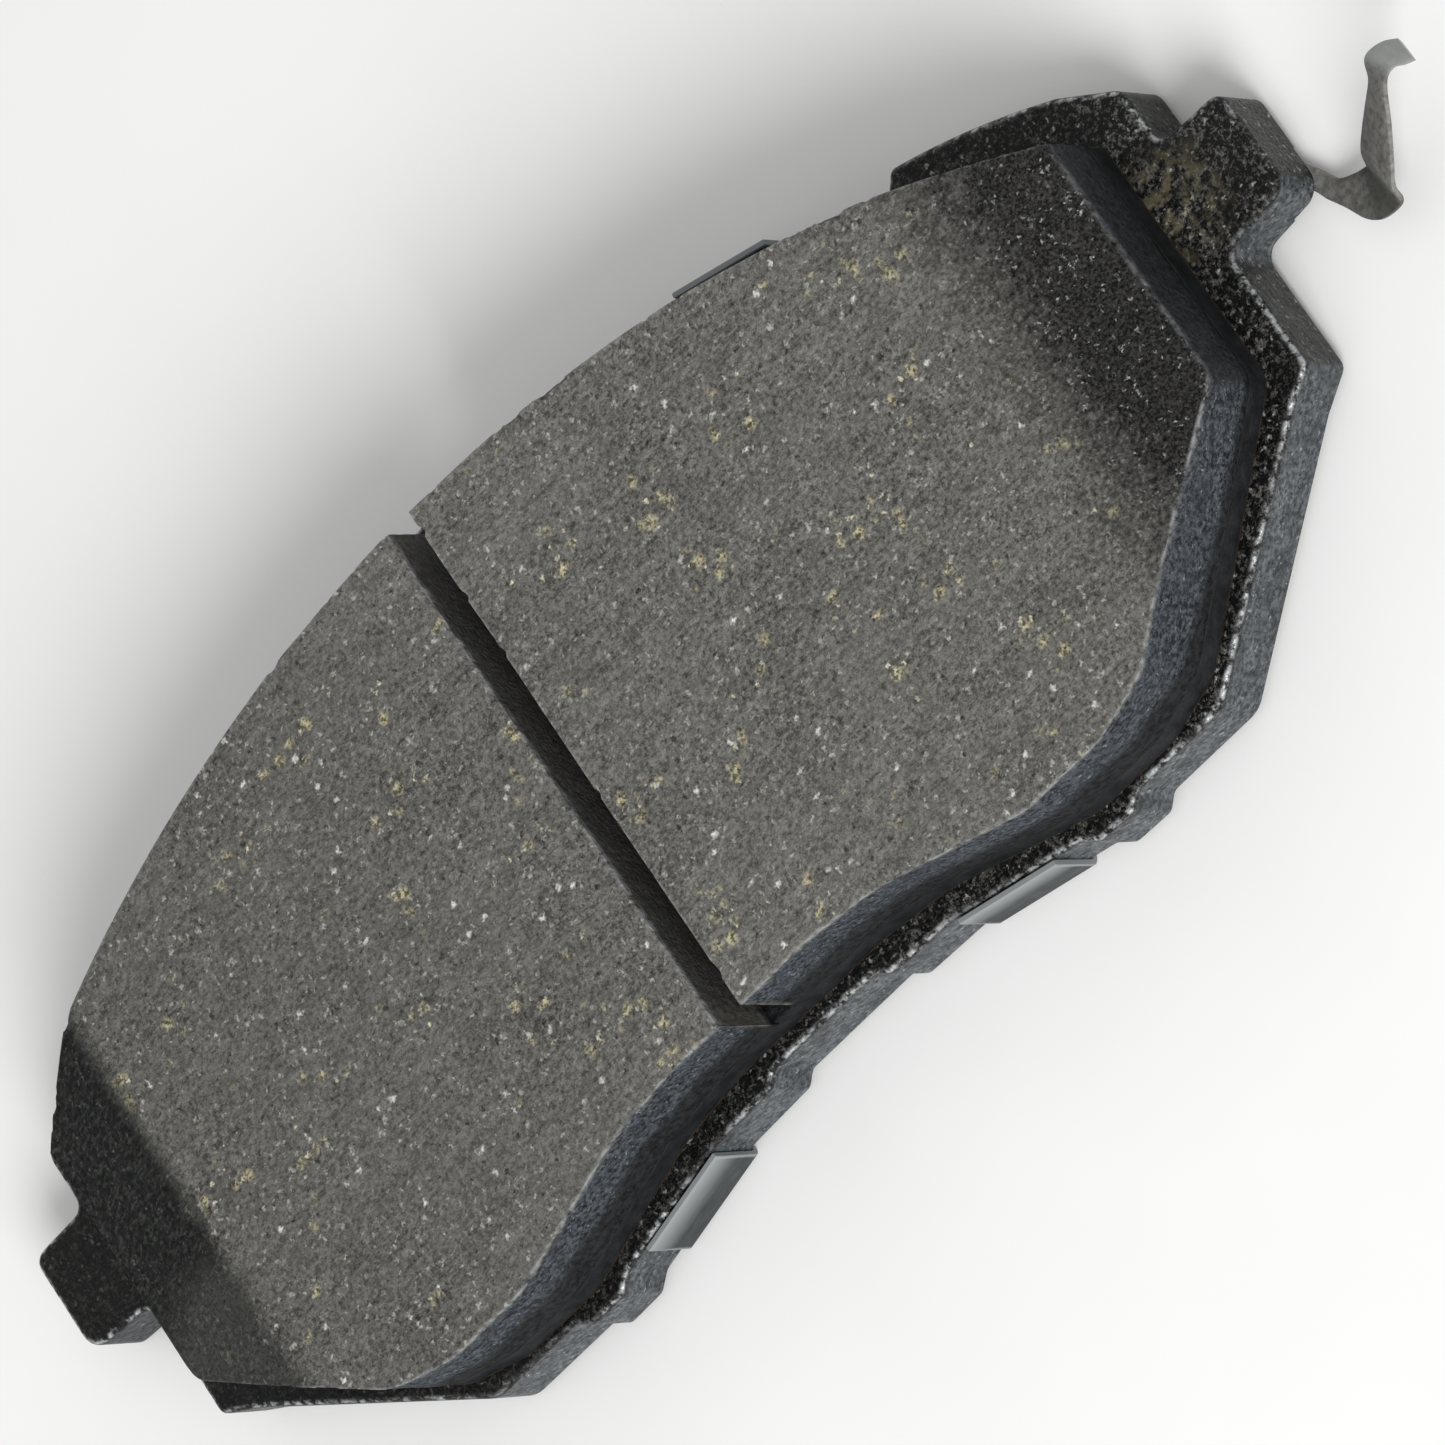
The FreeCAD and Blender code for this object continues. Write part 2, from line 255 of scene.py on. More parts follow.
class Recipe:
    """A material being mixed: its tree, its shader and the object coordinates in mm."""

    def __init__(self, name, **sockets):
        self.material = bpy.data.materials.new(name)
        self.material.use_nodes = True
        self.tree = self.material.node_tree
        self.shader = self.tree.nodes["Principled BSDF"]
        for socket, value in sockets.items():
            self.shader.inputs[socket.replace("_", " ")].default_value = value
        place = self.add("TexCoord", out="Object")
        self.mm = self.add("Mapping", {"Vector": place, "Scale": (1000, 1000, 1000)})

    def add(self, kind, inputs=None, out=0, **settings):
        """Adds one node with its settings, values and links; returns one of its outputs."""
        node = self.tree.nodes.new("ShaderNode" + kind)
        for key, value in settings.items():
            setattr(node, key, value)
        for key, value in (inputs or {}).items():
            if isinstance(value, bpy.types.NodeSocket):
                self.tree.links.new(value, node.inputs[key])
            else:
                node.inputs[key].default_value = value
        return node.outputs[out]

    def marks(self, *names):
        """The piece's own vertex marks, by name."""
        return [self.add("Attribute", out="Fac", attribute_name=name) for name in names]

    def give(self, socket, value):
        """Links a pattern to one of the shader's sockets."""
        self.tree.links.new(value, self.shader.inputs[socket])


def ragged(r, cell, amount):
    """Coordinates pushed about by noise of the given cell, so round spots get torn outlines."""
    push = r.add("TexNoise", {"Vector": r.mm, "Scale": 1 / cell, "Detail": 2.0}, "Color")
    centred = r.add("VectorMath", {0: push, 1: (0.5, 0.5, 0.5)}, operation="SUBTRACT")
    reach = (amount, amount, amount)
    return r.add("VectorMath", {0: centred, 1: reach, 2: r.mm}, operation="MULTIPLY_ADD")


def grain(r, cell, low, high, detail=3.0, at=None, rough=0.6):
    """0..1 clouds of the given size in mm, stretched between two cut levels."""
    cloud = r.add("TexNoise", {
        "Vector": at or r.mm, "Scale": 1 / cell, "Detail": detail, "Roughness": rough})
    return r.add("MapRange", {"Value": cloud, "From Min": low, "From Max": high})


def scattered(r, spots, clouds, at, shift):
    """0..1 spots where coarser clouds allow them.

    The spots are (cell in mm, radius where they are full, radius where they end), each
    radius as a share of the cell; the clouds are the numbers of one grain."""
    cell, full, gone = spots
    where = r.add("Mapping", {"Vector": at, "Location": (shift, shift * 1.7, shift * 0.6)})
    away = r.add("TexVoronoi", {"Vector": where, "Scale": 1 / cell})
    dots = r.add("MapRange", {
        "Value": away, "From Min": full, "From Max": gone, "To Min": 1.0, "To Max": 0.0})
    return r.add("Math", {0: dots, 1: grain(r, *clouds)}, operation="MULTIPLY")


def coats(r, base, *over):
    """A base colour with (cover 0..1, strength, colour) coats laid on it, one over another."""
    base = linear(base) if isinstance(base, str) else base
    for cover, strength, colour in over:
        share = r.add("Math", {0: cover, 1: strength}, operation="MULTIPLY")
        colour = linear(colour) if isinstance(colour, str) else colour
        base = r.add("Mix", {0: share, 6: base, 7: colour}, 2, data_type="RGBA")
    return base


def bumped(r, *layers):
    """Stacks bumps of (height, depth in mm), coarse first."""
    normal = None
    for height, depth in layers:
        below = {"Normal": normal} if normal else {}
        normal = r.add("Bump", {"Height": height, "Distance": depth * MM, "Strength": 1.0, **below})
    r.give("Normal", normal)


# ------------------------------------------------------------------- materials
def friction_compound():
    """Moulded phenolic friction composite.

    The ground face is a warm dark grey grit with torn pale flecks, brass chips and dark
    pores, and faint grinding tracks, with a pale line along its edges that is partly
    wear and partly a painted highlight; the leading chamfer is smoothed and dark, the
    trailing run-out is unground, black and granular, its granules flecked with painted
    glints; the moulded walls keep a bluer skin, painted nearly black at the foot and
    on the end walls as painted shade; the sawn slot is a plain warm dark grey."""
    r = Recipe("moulded_friction_composite", IOR=1.5, Specular_IOR_Level=0.16)
    ground, soot, lead, rim, cut, foot = r.marks("ground", "soot", "lead", "rim", "cut", "foot")
    torn = ragged(r, 0.35, 0.9)
    clusters = (5.0, 0.585, 0.64, 2.0)
    grit = grain(r, 0.34, 0.34, 0.66, 2.0, rough=0.75)
    pore = scattered(r, (0.80, 0.08, 0.31), (1.5, 0.44, 0.57), torn, 3.1)
    fleck = scattered(r, (0.75, 0.08, 0.30), (1.6, 0.40, 0.55), torn, 7.7)
    chalk = scattered(r, (2.0, 0.05, 0.17), (2.4, 0.44, 0.54), torn, 5.9)
    chip = scattered(r, (1.7, 0.20, 0.44), clusters, torn, 11.3)
    pit = scattered(r, (0.9, 0.10, 0.34), clusters, torn, 19.7)
    glint = scattered(r, (1.1, 0.06, 0.22), clusters, torn, 15.1)
    # painted glints: pale specks that stand for light caught on glossy granules
    granule_glint = scattered(r, (0.62, 0.08, 0.28), (1.5, 0.42, 0.60), torn, 2.9)
    along_x = r.add("SeparateXYZ", {"Vector": r.mm})
    leading_half = r.add("MapRange", {"Value": along_x, "From Min": 6.0, "From Max": -26.0})
    track_at = r.add("Mapping", {"Vector": r.mm, "Rotation": (0, 0, 0.5), "Scale": (0.05, 1.0, 1.0)})
    brass = coats(r, "#4d4834", (grain(r, 0.35, 0.40, 0.60, 2.0), 1.0, "#c8c09f"))
    surface = coats(
        r, "#33322f",
        (grit, 1.0, "#868580"),
        (grain(r, 0.8, 0.42, 0.62, 2.0), 0.26, "#3f3e3a"),
        (grain(r, 2.6, 0.38, 0.62), 0.22, "#4a4945"),
        (grain(r, 14.0, 0.35, 0.65), 0.24, "#7d7b76"),
        (grain(r, 0.45, 0.42, 0.66, 3.0, track_at), 0.22, "#8f8e88"),
        (leading_half, 0.20, "#3d3c3a"),
        (pore, 0.85, "#1f1e1c"),
        (fleck, 0.80, "#b6b5ad"),
        (chalk, 1.0, "#dedcd6"),
        (pit, 0.7, "#26231a"),
        (chip, 0.85, brass),
        (glint, 0.95, "#ded8bd"))
    char = coats(
        r, "#040405",
        (grain(r, 0.28, 0.40, 0.64, 2.0, rough=0.8), 1.0, "#3b3a38"),
        (granule_glint, 0.85, "#bfc1c1"))
    loose = r.add("Math", {0: grain(r, 0.5, 0.3, 0.7, 4.0), 1: 0.55, 2: soot}, operation="MULTIPLY_ADD")
    patchy = r.add("Math", {0: grain(r, 2.6, 0.36, 0.64), 1: 0.18, 2: loose}, operation="MULTIPLY_ADD")
    sooty = r.add("MapRange", {"Value": patchy, "From Min": 0.42, "From Max": 1.20})
    scratch_at = r.add("Mapping", {"Vector": r.mm, "Scale": (0.12, 1.0, 1.0)})
    smoothed = coats(
        r, "#040605",
        (grain(r, 0.5, 0.38, 0.64), 1.0, "#1f211f"),
        (grain(r, 0.35, 0.50, 0.70, 3.0, scratch_at), 0.40, "#5a5c59"),
        (granule_glint, 0.40, "#8d8f8c"))
    skin = coats(
        r, "#0f1215",
        (grain(r, 0.42, 0.40, 0.62, 3.0, rough=0.7), 1.0, "#50565d"),
        (grain(r, 3.0, 0.4, 0.65), 0.34, "#3f454b"),
        (grain(r, 1.3, 0.50, 0.64), 0.45, "#14171a"),
        (scattered(r, (0.6, 0.06, 0.24), (1.1, 0.40, 0.60), torn, 4.4), 0.65, "#a2aab0"))
    # painted shade: near-black colour laid on the walls' foot and on the end walls
    painted_foot_shade = coats(r, "#0a0a0b", (grain(r, 0.6, 0.38, 0.62), 1.0, "#242628"))
    sawn = coats(r, "#3b3a37", (grain(r, 0.5, 0.3, 0.7), 1.0, "#5c5b56"))
    # pale line on the face's edges: partly real wear, partly a painted highlight
    worn_and_highlit = r.add("Math", {0: rim, 1: grain(r, 0.9, 0.40, 0.58, 4.0)}, operation="MULTIPLY")
    skin = coats(r, skin, (foot, 1.0, painted_foot_shade), (cut, 1.0, sawn))
    face = coats(r, surface, (sooty, 1.0, char), (lead, 1.0, smoothed))
    r.give("Base Color", coats(r, skin, (ground, 1.0, face), (worn_and_highlit, 0.75, "#adafae")))
    r.give("Roughness", r.add("MapRange", {"Value": sooty, "To Min": 0.82, "To Max": 0.5}))
    pits = r.add("Math", {0: grit, 1: pore}, operation="SUBTRACT")
    as_moulded = r.add("Math", {0: 2.2, 1: ground}, operation="SUBTRACT")
    relief = r.add("Math", {0: cut, 1: -1.8, 2: as_moulded}, operation="MULTIPLY_ADD")
    lumpy = r.add("Math", {0: grain(r, 1.1, 0.3, 0.7, 4.0), 1: relief}, operation="MULTIPLY")
    bumped(r, (lumpy, 0.12), (pits, 0.045))
    return r.material


def moulded_underlayer():
    """Binder-rich moulded layer: near black and finer than the lining, slightly shiny."""
    r = Recipe("moulded_underlayer", Roughness=0.6, IOR=1.5, Specular_IOR_Level=0.2)
    cloud = grain(r, 1.4, 0.35, 0.65, 4.0)
    r.give("Base Color", coats(r, "#0e0f10", (cloud, 1.0, "#222426")))
    bumped(r, (cloud, 0.06), (grain(r, 0.4, 0.3, 0.7), 0.03))
    return r.material


def painted_plate():
    """Thin black paint on shot-blasted, stamped steel.

    The blasting shows as grey specks, thicker towards the strip; brown dust has settled
    at the root of one ear; the front edge is rubbed through to bright metal in broken
    runs, made paler still as a painted highlight; the cut walls on the inner side, the
    side the lamp lights, are coloured as scuffed blue-grey steel with pale glints only
    there, as painted light, least at the leading ear."""
    r = Recipe("black_paint_on_blasted_steel", IOR=1.5, Specular_IOR_Level=0.22)
    scuffed_lit_wall, edge = r.marks("scuffed_lit_wall", "edge")
    torn = ragged(r, 0.4, 0.9)
    lumps = grain(r, 0.36, 0.50, 0.76, 3.0, rough=0.7)
    scuff = grain(r, 0.5, 0.38, 0.62, 3.0, rough=0.7)
    root = (*DUST_AT, PLATE_FRONT)
    from_root = r.add("VectorMath", {0: r.mm, 1: root}, "Value", operation="DISTANCE")
    at_root = r.add("MapRange", {
        "Value": from_root, "From Min": 1.0, "From Max": 5.5, "To Min": 1.0, "To Max": 0.0})
    dust = r.add("Math", {0: at_root, 1: grain(r, 1.1, 0.46, 0.60, 4.0)}, operation="MULTIPLY")
    nick = scattered(r, (0.75, 0.06, 0.27), (1.2, 0.42, 0.57), torn, 2.3)
    crumbs = scattered(r, (0.8, 0.12, 0.36), (1.2, 0.42, 0.56), torn, 9.4)
    crust = r.add("Math", {0: at_root, 1: crumbs}, operation="MULTIPLY")
    along_x = r.add("SeparateXYZ", {"Vector": r.mm})
    trailing = r.add("MapRange", {"Value": along_x, "From Min": -55.0, "From Max": 10.0, "To Min": 0.2})
    specks = r.add("Math", {0: lumps, 1: trailing}, operation="MULTIPLY")
    nicks = r.add("Math", {0: nick, 1: trailing}, operation="MULTIPLY")
    paint = coats(
        r, "#0a0a0a",
        (specks, 1.0, "#7d7c76"),
        (grain(r, 2.4, 0.44, 0.62), 0.6, "#060606"),
        (dust, 0.8, "#6a634e"),
        (crust, 0.8, "#a39d8a"),
        (nicks, 0.9, "#b3b4b0"))
    leading = r.add("MapRange", {"Value": along_x, "From Min": -34.0, "From Max": -60.0})
    # painted light: bare steel colour with painted glints, laid only on the walls facing the lamp side
    bare_and_lit = coats(
        r, "#24282b",
        (scuff, 1.0, "#666c70"),
        (grain(r, 3.5, 0.40, 0.66), 0.5, "#2c3033"),
        (grain(r, 1.4, 0.52, 0.64), 0.5, "#15181a"),
        (leading, 0.65, "#141617"),
        (scattered(r, (0.7, 0.06, 0.24), (1.2, 0.40, 0.60), torn, 6.1), 0.65, "#b5bbbd"))
    broken = grain(r, 0.7, 0.45, 0.60, 4.0)
    rubbed_and_highlit = r.add("Math", {0: broken, 1: grain(r, 9.0, 0.34, 0.54)}, operation="MULTIPLY")
    # pale metal on the front edge: partly real worn paint, partly a painted highlight
    worn_and_highlit = r.add("Math", {0: edge, 1: rubbed_and_highlit}, operation="MULTIPLY")
    r.give("Base Color", coats(r, paint, (scuffed_lit_wall, 1.0, bare_and_lit), (worn_and_highlit, 1.0, "#bcc0c1")))
    r.give("Metallic", r.add("Math", {0: worn_and_highlit, 1: 0.5}, operation="MULTIPLY"))
    r.give("Roughness", r.add("MapRange", {"Value": lumps, "To Min": 0.36, "To Max": 0.58}))
    bumped(r, (grain(r, 1.8, 0.3, 0.7), 0.12), (lumps, 0.07), (scuff, 0.03))
    return r.material


def coated_shim_steel():
    """Cold-rolled sheet with a grey phosphate coat: smooth, satin, faint rolling lines."""
    r = Recipe("phosphate_coated_sheet_steel", Roughness=0.6, Metallic=0.1, Specular_IOR_Level=0.2)
    edge, = r.marks("edge")
    lines_at = r.add("Mapping", {"Vector": r.mm, "Scale": (0.12, 1.0, 1.0)})
    lines = grain(r, 0.7, 0.3, 0.7, 3.0, lines_at)
    r.give("Base Color", coats(
        r, "#303335",
        (lines, 1.0, "#424648"),
        (grain(r, 6.0, 0.5, 0.7), 0.3, "#35383a"),
        (grain(r, 0.8, 0.52, 0.66), 0.35, "#25282a"),
        # painted highlight: the tabs' ends and top edges are coloured pale
        (edge, 1.0, "#8e9293")))
    satin = grain(r, 3.0, 0.3, 0.7)
    r.give("Roughness", r.add("MapRange", {"Value": satin, "To Min": 0.5, "To Max": 0.65}))
    bumped(r, (lines, 0.006), (grain(r, 2.0, 0.3, 0.7), 0.02))
    return r.material


def spring_steel():
    """Zinc-flake coated spring steel: matt pale grey with fine streaks along the rolling."""
    r = Recipe("zinc_flake_spring_steel", Roughness=0.5, Metallic=0.3)
    painted_light_tip, painted_shade_elbow = r.marks("painted_light_tip", "painted_shade_elbow")
    cloud = grain(r, 0.7, 0.30, 0.70, 4.0)
    streak_at = r.add("Mapping", {"Vector": r.mm, "Scale": (1.0, 1.0, 0.2)})
    r.give("Base Color", coats(
        r, "#6c6b67",
        (cloud, 1.0, "#8f8e8a"),
        (grain(r, 0.45, 0.46, 0.62, 3.0, streak_at), 0.5, "#474643"),
        # painted light and shade: the strip's tip is coloured lighter and its elbow darker
        (painted_light_tip, 0.75, "#a8acaa"),
        (painted_shade_elbow, 0.75, "#33332f")))
    bumped(r, (cloud, 0.02))
    return r.material


def damping_rubber():
    """Vulcanised nitrile rubber ply: matt black with a faint calendered grain."""
    r = Recipe("nitrile_rubber", Roughness=0.75, IOR=1.52)
    cloud = grain(r, 0.8, 0.35, 0.65)
    r.give("Base Color", coats(r, "#141414", (cloud, 1.0, "#262625")))
    bumped(r, (cloud, 0.01))
    return r.material


def cured_film():
    """Cured phenolic bonding film: dark brown, slightly glossy at the rim."""
    r = Recipe("cured_phenolic_film", Roughness=0.4, IOR=1.55)
    r.give("Base Color", coats(r, "#1d1712", (grain(r, 1.0, 0.35, 0.65), 1.0, "#3a2e22")))
    return r.material


def studio_floor():
    """Matt white studio board with the faintest tooth."""
    r = Recipe("matt_white_board", Roughness=0.9)
    r.give("Base Color", coats(r, "#f6f6f5", (grain(r, 40.0, 0.3, 0.7), 1.0, "#fafaf9")))
    return r.material


FRICTION = friction_compound()
UNDERLAYER = moulded_underlayer()
PAINT = painted_plate()
SHIM = coated_shim_steel()
SPRING = spring_steel()
RUBBER = damping_rubber()
FILM = cured_film()


# ---------------------------------------------------------------- lining shape
def crown_line(x):
    """Outer edge of the lining: a circle about the wheel axis."""
    return CROWN + np.sqrt(CROWN_RADIUS**2 - x**2) - CROWN_RADIUS


END_TOP = float(crown_line(LINING_END))
END_LOW, END_CORNER = -12.2, 2.5
DRAFT = 1.2              # degrees the moulded walls lean out towards the foot
FADE = 0.7               # how far in from its edge the top still feels the worn radius
FOOT_PULL, FOOT_HEIGHT = 0.168, 1.6   # how far the walls draw in at the foot, and from how high
WALL_LUMPS = 0.10
INNER_CORNERS = [
    (LINING_END, END_TOP, 0),
    (LINING_END, END_LOW, END_CORNER),
    (41.6, -25.7, 6.0),
    (36.0, -27.2, 5.0),
    (28.0, -27.2, 9.0),
    (15.0, -23.6, 12.0),
    (8.0, -22.8, 14.0),
]
LINING_CORNERS = mirrored(INNER_CORNERS)
LINING_CORNERS[-1] = LINING_CORNERS[-1][:3] + (CROWN - END_TOP,)


def inner_line(x):
    """Inner edge of the lining at each x, read from its rounded outline."""
    loop = rounded_loop(LINING_CORNERS, 0.1)
    low = loop[(loop[:, 1] < END_TOP - 0.3) & (np.abs(loop[:, 0]) < LINING_END - 1e-3)]
    corner = END_LOW + END_CORNER / 2
    low = np.concatenate([low, [[-LINING_END, corner], [LINING_END, corner]]])
    low = low[np.argsort(low[:, 0])]
    return np.interp(x, low[:, 0], low[:, 1])


def face_height(x):
    """Flat ground face, cut by the steep chamfer at -X and the shallow run-out at +X.

    The chamfer blends in along a hyperbola, so its crease is about a millimetre soft."""
    past = -x - LEAD_START
    lead = (past + np.sqrt(past**2 + 0.5)) / 2 * LEAD_DROP / (LINING_END - LEAD_START)
    t = np.clip((x - TRAIL_START) / (LINING_END - TRAIL_START), 0, None)
    trail = TRAIL_DROP * (0.82 * t + 0.18 * t * t)
    return FACE_Z - lead - trail


def graded(a, b, step, edge_step, reach=1.6):
    """Positions from a to b: fine steps near both ends, coarse ones between."""
    fine = np.arange(0, reach, edge_step)
    middle = np.linspace(a + reach, b - reach, int((b - a - 2 * reach) / step) + 1)
    return np.concatenate([a + fine, middle, b - fine[::-1]])


def chip_radius(points, seed):
    """Edge wear: a small even radius with scattered crumbled spots, rounder at one slot edge."""
    crumbs = layered(points, 1.5, seed)
    at_slot = np.exp(-((points[..., 0] - SLOT_X + SLOT_WIDE / 2) / 0.4) ** 2)
    even = 0.14 + 0.05 * noise(points, 4.0, seed + 5) + 0.16 * at_slot
    return even + 0.80 * np.clip(crumbs - 0.25, 0, None) / 0.5


def half_block(x_low, x_high, seed):
    """One half of the lining as a grid top whose rim runs down into four moulded walls.

    The top is (x, t) with y between the inner and outer lines; the rim loop is carried
    down a quarter-round of varying radius, then along walls that lean out by the draft
    and bulge by noise, and draw in a little at the foot."""
    xs = graded(x_low, x_high, 0.36, 0.14)
    ts = graded(0.0, 1.0, 0.0095, 0.0032, 0.034)
    x, t = np.meshgrid(xs, ts, indexing="ij")
    low, high = inner_line(xs)[:, None], crown_line(xs)[:, None]
    y = low + (high - low) * t
    rim = np.concatenate([
        np.stack([x[0, :], y[0, :]], 1),
        np.stack([x[1:, -1], y[1:, -1]], 1),
        np.stack([x[-1, -2::-1], y[-1, -2::-1]], 1),
        np.stack([x[-2:0:-1, 0], y[-2:0:-1, 0]], 1),
    ])
    normal = outward(rim)
    flat = np.concatenate([rim, np.full((len(rim), 1), FACE_Z)], 1)
    radius = chip_radius(flat, seed)
    # the top's edge pulls in by the local radius and fades out over about 2 mm
    left, right = chip_radius(np.stack([x, y, 0 * x + FACE_Z], -1)[[0, -1]], seed)
    bottom, top = chip_radius(np.stack([x, y, 0 * x + FACE_Z], -1)[:, [0, -1]].swapaxes(0, 1), seed)
    tx = x + left[None] * np.exp(-(x - x_low) / FADE) - right[None] * np.exp(-(x_high - x) / FADE)
    ty = y + bottom[:, None] * np.exp(-(y - low) / FADE) - top[:, None] * np.exp(-(high - y) / FADE)
    tz = face_height(tx) + 0.02 * layered(np.stack([tx, ty, 0 * tx], -1), 5.0, seed)
    top_grid = np.stack([tx, ty, tz], -1)
    nx, nt = x.shape
    index = np.arange(nx * nt).reshape(nx, nt)
    rim_index = np.concatenate([index[0, :], index[1:, -1], index[-1, -2::-1], index[-2:0:-1, 0]])
    height = face_height(rim[:, 0])
    lean = math.tan(math.radians(DRAFT))
    rows = []
    for angle in np.linspace(0, math.pi / 2, 5)[1:]:
        out = -radius * (1 - math.sin(angle))
        rows.append((out, height - radius * (1 - math.cos(angle))))
    start = height - radius
    for k in np.linspace(0, 1, 18)[1:]:
        z = start + (LINING_Z - start) * k
        pull = FOOT_PULL * np.clip(1 - (z - LINING_Z) / FOOT_HEIGHT, 0, 1) ** 2
        rows.append((-pull, z))
    rings = []
    for out, z in rows:
        spot = np.stack([rim[:, 0], rim[:, 1], z], 1)
        lumps = layered(spot * [1, 1, 0.6], 1.6, seed + 9)
        rough = WALL_LUMPS * lumps * smooth(0.0, 0.8, height - z)
        depth = (LINING_Z - z) * lean
        rings.append(np.concatenate([rim + normal * (out + rough + depth)[:, None], z[:, None]], 1))
    foot = np.array([[rim[:, 0].mean(), rim[:, 1].mean(), LINING_Z]])
    vertices = np.concatenate([top_grid.reshape(-1, 3)] + rings + [foot])
    n = len(rim)
    ring = [rim_index] + [nx * nt + k * n + np.arange(n) for k in range(len(rings))]
    faces = [grid_faces(nx, nt, flip=True)]
    for upper, lower in zip(ring[:-1], ring[1:]):
        faces.append(np.stack([upper, np.roll(upper, -1), np.roll(lower, -1), lower], 1))
    last = ring[-1]
    faces.append(np.stack([last, np.roll(last, -1), np.full(n, len(vertices) - 1)], 1))
    return vertices, faces


def friction_lining():
    """Both halves and the web left under the slot, as one piece."""
    left, right = SLOT_X - SLOT_WIDE / 2, SLOT_X + SLOT_WIDE / 2
    floor_z = FACE_Z - SLOT_DEEP
    bite, low = 0.6, inner_line(0.0) + 0.2
    web = rounded_loop([
        (left - bite, crown_line(left) - 0.2, 0), (right + bite, crown_line(right) - 0.2, 0),
        (right + bite, low, 0), (left - bite, low, 0)], 0.5)
    vertices, faces = joined([
        half_block(-LINING_END, left, 3),
        half_block(right, LINING_END, 8),
        ring_shell(web, [(0, LINING_Z + 0.02), (0, floor_z - 0.1), (-0.1, floor_z)]),
    ])
    x, y, z = vertices.T
    below = face_height(x) - z
    sway = noise(vertices, 3.0, 21) * 0.4
    # the smoothed chamfer starts along a swaying line and is paler at its inner end
    on_lead = smooth(-1.4, 1.5, -x - LEAD_START + 0.7 + sway)
    half_dark = 1 - 0.30 * smooth(-5.5, -10.5, y + sway * 2)
    # soot is thickest at the trailing end's inner corner
    deep_corner = np.exp(-((x - 55.5) / 4.5) ** 2 - ((y + 7.0) / 7.5) ** 2)
    edges = np.abs([y - inner_line(x), crown_line(x) - y, LINING_END - np.abs(x), x - left, x - right])
    # how much each of those edges is worn and painted with a highlight: inner, crown, both ends, the
    # slot's two sides
    rubbed_and_highlit = np.array([0.85, 0.3, 0.35, 1.0, 0.55])[:, None]
    rim = (smooth(0.42, 0.10, edges) * rubbed_and_highlit).max(0)
    in_slot = smooth(SLOT_WIDE / 2 + 0.35, SLOT_WIDE / 2 + 0.15, np.abs(x - SLOT_X))
    # painted shade: the walls are coloured dark at the foot, taller along the middle of the walls than
    # at the ends, and over the end walls
    foot_top = LINING_Z + 0.9 + 2.6 * smooth(52, 34, np.abs(x)) + 0.35 * noise(vertices, 4.0, 23)
    marks = {
        "ground": smooth(0.40, 0.08, below),
        "soot": 0.86 * smooth(TRAIL_START - 4.5, TRAIL_START + 9.0, x) + 0.30 * deep_corner,
        "lead": on_lead * half_dark,
        "rim": rim * smooth(0.8, 0.1, below) * (1 - 0.75 * on_lead),
        "cut": in_slot * smooth(0.1, 0.4, below) * smooth(SLOT_DEEP - 0.3, SLOT_DEEP - 1.3, below),
        "foot": np.maximum(
            smooth(foot_top + 0.9, foot_top - 0.7, z),
            0.8 * smooth(LINING_END - 0.8, LINING_END - 0.2, np.abs(x))) * smooth(0.2, 1.0, below),
    }
    return new_piece("lining_block", vertices, faces, FRICTION, marks)


def underlayer():
    """Slab with a squeezed-out, slightly wavy rim and the two anchor plugs below it."""
    loop = rounded_loop(LINING_CORNERS, 0.4)
    spot = np.concatenate([loop, np.zeros((len(loop), 1))], 1)
    wave = 0.10 * layered(spot, 3.0, 31) - 0.22
    rows = [
        (wave * 0.5 + 0.05, UNDER_Z), (wave + 0.12, UNDER_Z + 0.25), (wave + 0.05, UNDER_Z + 0.8),
        (wave * 0.6 - 0.05, UNDER_Z + 1.4), (-0.12, LINING_Z - 0.05), (-0.2, LINING_Z)]
    parts = [ring_shell(loop, rows)]
    for x in (-ANCHOR_X, ANCHOR_X):
        plug = [(-0.15, PLATE_BACK), (0, PLATE_BACK + 0.15), (0, UNDER_Z + 0.05)]
        parts.append(ring_shell(disc_loop(x, 0, ANCHOR_RADIUS), plug))
    vertices, faces = joined(parts)
    return new_piece("underlayer_slab", vertices, faces, UNDERLAYER)


# ------------------------------------------------------------------ plate shape
PLATE_TOP, SHOULDER = 27.0, 19.25
PLATE_CORNERS = mirrored([
    (42.4, SHOULDER, 0),
    (43.5, 20.4, 0.8, 0.35),
    (57.2, 15.2, 2.0),
    (62.0, 11.9, 1.6),
    (62.0, 6.8, 1.0),
    (68.1, 6.6, 1.2),
    (68.1, -2.5, 1.8),
    (61.4, -2.9, 1.5),
    (61.4, -13.4, 0.8),
    (58.2, -15.2, 1.5),
    (40.4, -27.9, 2.5),
    (31.3, -27.9, 0.9),
    (30.2, -28.9, 0.8),
    (26.6, -28.8, 0.8),
    (25.2, -27.75, 0.9),
    (13.0, -25.3, 1.0),
    (6.7, -25.1, 0.9),
    (5.7, -24.2, 0.9),
])
PLATE_CORNERS[-1] = PLATE_CORNERS[-1][:3] + (PLATE_TOP - SHOULDER,)
EDGE_ROLL = 0.55
SEAT_CORNERS = [(62.2, 2.6, 0.6), (64.6, 4.6, 0.6), (69.6, 0.0, 0), (66.6, -4.4, 0), (62.6, -0.4, 0.6)]
SEAT_DEPTH = 1.2
RIVET_TOP = 4.0


